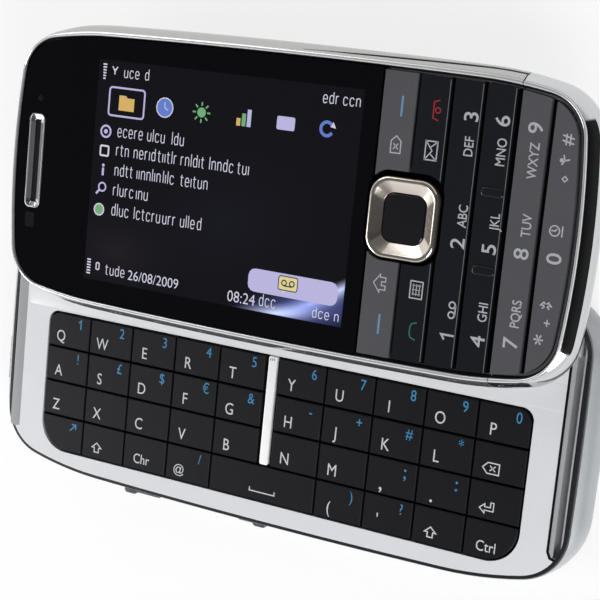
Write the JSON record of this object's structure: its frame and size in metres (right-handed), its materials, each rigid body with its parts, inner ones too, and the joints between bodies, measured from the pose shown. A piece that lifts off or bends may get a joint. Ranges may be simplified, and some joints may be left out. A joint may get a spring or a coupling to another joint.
{
  "type": "slider phone",
  "caption": "Slider phone: a display half with a number keypad slides off a base that carries a letter keyboard, with side keys, port flaps and a sliding battery cover.",
  "frame": {"origin": "middle of the base's flat back, on the battery cover's outer face", "axes": "+X along the phone towards the number keypad's end, +Y from the letter keyboard towards the opened display half, +Z out of the face"},
  "size_m": [0.1103, 0.0809, 0.0146],
  "materials": {
    "dark_plastic": "moulded, satin black",
    "satin_frame": "satin silver paint on plastic",
    "pearl_bezel": "fine satin silver-white paint",
    "mat_rubber": "matt black rubber",
    "board_green": "solder-masked board",
    "battery_wrap": "printed foil wrap, left plain",
    "back_plastic": "fine-grained black plastic",
    "cover_metal": "brushed, tinted grey",
    "chrome_trim": "polished plating",
    "lens_glass": "clear hard cover over a black barrel",
    "module_black": "moulded black",
    "clear_lens": "moulded diffuser",
    "grille_metal": "stamped, satin",
    "rail_steel": "folded sheet, satin",
    "socket_steel": "stamped and plated",
    "socket_plastic": "moulded black",
    "side_key_chrome": "satin chrome plating on plastic",
    "keyboard_key": "satin black caps with printed legends",
    "satin_band": "satin silver paint on plastic",
    "mirror_cap": "mirror plating on plastic",
    "slide_black": "black coated steel sheet",
    "window_glass": "hard clear sheet, printed black behind its border",
    "display_panel": "display module",
    "face_key_grey": "dark grey metallic caps with printed legends",
    "face_key_black": "glossy black caps with printed legends",
    "champagne_ring": "champagne plating, satin"
  },
  "bodies": {
    "base": {"base_housing": "dark_plastic", "side_frame": "satin_frame", "keyboard_bezel": "pearl_bezel", "key_mat": "mat_rubber", "centre_bar": "pearl_bezel", "circuit_board": "board_green", "battery": "battery_wrap", "back_end_cap": "back_plastic", "camera_trim": "chrome_trim", "camera_glass": "lens_glass", "camera_module": "module_black", "flash_lens": "clear_lens", "speaker_grille": "grille_metal", "loudspeaker": "module_black", "rail_left": "rail_steel", "rail_right": "rail_steel", "usb_socket": "socket_steel", "card_holder": "socket_steel", "audio_jack": "socket_plastic", "charger_socket": "socket_steel", "housing_screws": "socket_steel"},
    "display_half": {"upper_housing": "satin_band", "front_bezel": "chrome_trim", "end_cap": "mirror_cap", "display_window": "window_glass", "display_panel": "display_panel", "display_board": "board_green", "earpiece_grille": "chrome_trim", "keypad_web": "mat_rubber", "slide_plate": "slide_black", "runner_left": "rail_steel", "runner_right": "rail_steel"},
    "battery_cover": {"battery_cover": "cover_metal"},
    "usb_flap": {"usb_flap": "satin_frame"},
    "card_flap": {"card_flap": "satin_frame"},
    "volume_rocker": {"volume_rocker": "side_key_chrome"},
    "camera_key": {"camera_key": "side_key_chrome"},
    "power_key": {"power_key": "side_key_chrome"},
    "keys_row_1_left": {"keys_row_1_left": "keyboard_key"},
    "keys_row_1_right": {"keys_row_1_right": "keyboard_key"},
    "keys_row_2_left": {"keys_row_2_left": "keyboard_key"},
    "keys_row_2_right": {"keys_row_2_right": "keyboard_key"},
    "keys_row_3_left": {"keys_row_3_left": "keyboard_key"},
    "keys_row_3_right": {"keys_row_3_right": "keyboard_key"},
    "keys_row_4_left": {"keys_row_4_left": "keyboard_key"},
    "keys_row_4_right": {"keys_row_4_right": "keyboard_key"},
    "space_key": {"space_key": "keyboard_key"},
    "softkey_strip_upper": {"softkey_strip_upper": "face_key_grey"},
    "softkey_strip_lower": {"softkey_strip_lower": "face_key_grey"},
    "call_strip_upper": {"call_strip_upper": "face_key_black"},
    "call_strip_lower": {"call_strip_lower": "face_key_black"},
    "number_row_1": {"number_row_1": "face_key_black"},
    "number_row_2": {"number_row_2": "face_key_black"},
    "number_row_3": {"number_row_3": "face_key_grey"},
    "number_row_4": {"number_row_4": "face_key_grey"},
    "select_key": {"select_key": "face_key_black"},
    "direction_mat": {"direction_mat": "mat_rubber"},
    "direction_ring": {"direction_ring": "champagne_ring"}
  },
  "joints": [
    {"name": "display_slide", "type": "slide", "parent": "base", "child": "display_half", "axis": [0, -1, 0], "range_m": [0, 0.031]},
    {"name": "battery_cover_slide", "type": "slide", "parent": "base", "child": "battery_cover", "axis": [1, 0, 0], "range_m": [0, 0.012]},
    {"name": "usb_flap_hinge", "type": "hinge", "parent": "base", "child": "usb_flap", "pos_m": [-0.0143, -0.025, 0.0043], "axis": [0, 0, 1], "range_deg": [0, 90]},
    {"name": "card_flap_hinge", "type": "hinge", "parent": "base", "child": "card_flap", "pos_m": [0.0124, -0.025, 0.0043], "axis": [0, 0, 1], "range_deg": [0, 90]},
    {"name": "volume_rocker_rock", "type": "hinge", "parent": "base", "child": "volume_rocker", "pos_m": [-0.018, 0.02385, 0.0043], "axis": [0, 0, 1], "range_deg": [-1.5, 1.5], "stiffness_Nm_per_rad": 0.4},
    {"name": "camera_key_press", "type": "slide", "parent": "base", "child": "camera_key", "axis": [0, -1, 0], "range_m": [0, 0.0003], "stiffness_N_per_m": 1500},
    {"name": "power_key_press", "type": "slide", "parent": "base", "child": "power_key", "axis": [1, 0, 0], "range_m": [0, 0.0003], "stiffness_N_per_m": 1500},
    {"name": "keys_row_1_left_press", "type": "slide", "parent": "base", "child": "keys_row_1_left", "axis": [0, 0, -1], "range_m": [0, 0.00025], "stiffness_N_per_m": 1500},
    {"name": "keys_row_1_right_press", "type": "slide", "parent": "base", "child": "keys_row_1_right", "axis": [0, 0, -1], "range_m": [0, 0.00025], "stiffness_N_per_m": 1500},
    {"name": "keys_row_2_left_press", "type": "slide", "parent": "base", "child": "keys_row_2_left", "axis": [0, 0, -1], "range_m": [0, 0.00025], "stiffness_N_per_m": 1500},
    {"name": "keys_row_2_right_press", "type": "slide", "parent": "base", "child": "keys_row_2_right", "axis": [0, 0, -1], "range_m": [0, 0.00025], "stiffness_N_per_m": 1500},
    {"name": "keys_row_3_left_press", "type": "slide", "parent": "base", "child": "keys_row_3_left", "axis": [0, 0, -1], "range_m": [0, 0.00025], "stiffness_N_per_m": 1500},
    {"name": "keys_row_3_right_press", "type": "slide", "parent": "base", "child": "keys_row_3_right", "axis": [0, 0, -1], "range_m": [0, 0.00025], "stiffness_N_per_m": 1500},
    {"name": "keys_row_4_left_press", "type": "slide", "parent": "base", "child": "keys_row_4_left", "axis": [0, 0, -1], "range_m": [0, 0.00025], "stiffness_N_per_m": 1500},
    {"name": "keys_row_4_right_press", "type": "slide", "parent": "base", "child": "keys_row_4_right", "axis": [0, 0, -1], "range_m": [0, 0.00025], "stiffness_N_per_m": 1500},
    {"name": "space_key_press", "type": "slide", "parent": "base", "child": "space_key", "axis": [0, 0, -1], "range_m": [0, 0.00025], "stiffness_N_per_m": 1500},
    {"name": "softkey_strip_upper_press", "type": "slide", "parent": "display_half", "child": "softkey_strip_upper", "axis": [0, 0, -1], "range_m": [0, 0.0002], "stiffness_N_per_m": 1500},
    {"name": "softkey_strip_lower_press", "type": "slide", "parent": "display_half", "child": "softkey_strip_lower", "axis": [0, 0, -1], "range_m": [0, 0.0002], "stiffness_N_per_m": 1500},
    {"name": "call_strip_upper_press", "type": "slide", "parent": "display_half", "child": "call_strip_upper", "axis": [0, 0, -1], "range_m": [0, 0.0002], "stiffness_N_per_m": 1500},
    {"name": "call_strip_lower_press", "type": "slide", "parent": "display_half", "child": "call_strip_lower", "axis": [0, 0, -1], "range_m": [0, 0.0002], "stiffness_N_per_m": 1500},
    {"name": "number_row_1_press", "type": "slide", "parent": "display_half", "child": "number_row_1", "axis": [0, 0, -1], "range_m": [0, 0.0002], "stiffness_N_per_m": 1500},
    {"name": "number_row_2_press", "type": "slide", "parent": "display_half", "child": "number_row_2", "axis": [0, 0, -1], "range_m": [0, 0.0002], "stiffness_N_per_m": 1500},
    {"name": "number_row_3_press", "type": "slide", "parent": "display_half", "child": "number_row_3", "axis": [0, 0, -1], "range_m": [0, 0.0002], "stiffness_N_per_m": 1500},
    {"name": "number_row_4_press", "type": "slide", "parent": "display_half", "child": "number_row_4", "axis": [0, 0, -1], "range_m": [0, 0.0002], "stiffness_N_per_m": 1500},
    {"name": "select_key_press", "type": "slide", "parent": "display_half", "child": "select_key", "axis": [0, 0, -1], "range_m": [0, 0.00025], "stiffness_N_per_m": 1500},
    {"name": "direction_tilt_up_down", "type": "hinge", "parent": "display_half", "child": "direction_mat", "pos_m": [0.02305, 0.031, 0.0122], "axis": [1, 0, 0], "range_deg": [-1.5, 1.5], "stiffness_Nm_per_rad": 0.4},
    {"name": "direction_tilt_left_right", "type": "hinge", "parent": "direction_mat", "child": "direction_ring", "pos_m": [0.02305, 0.031, 0.0134], "axis": [0, 1, 0], "range_deg": [-1.5, 1.5], "stiffness_Nm_per_rad": 0.4}
  ]
}
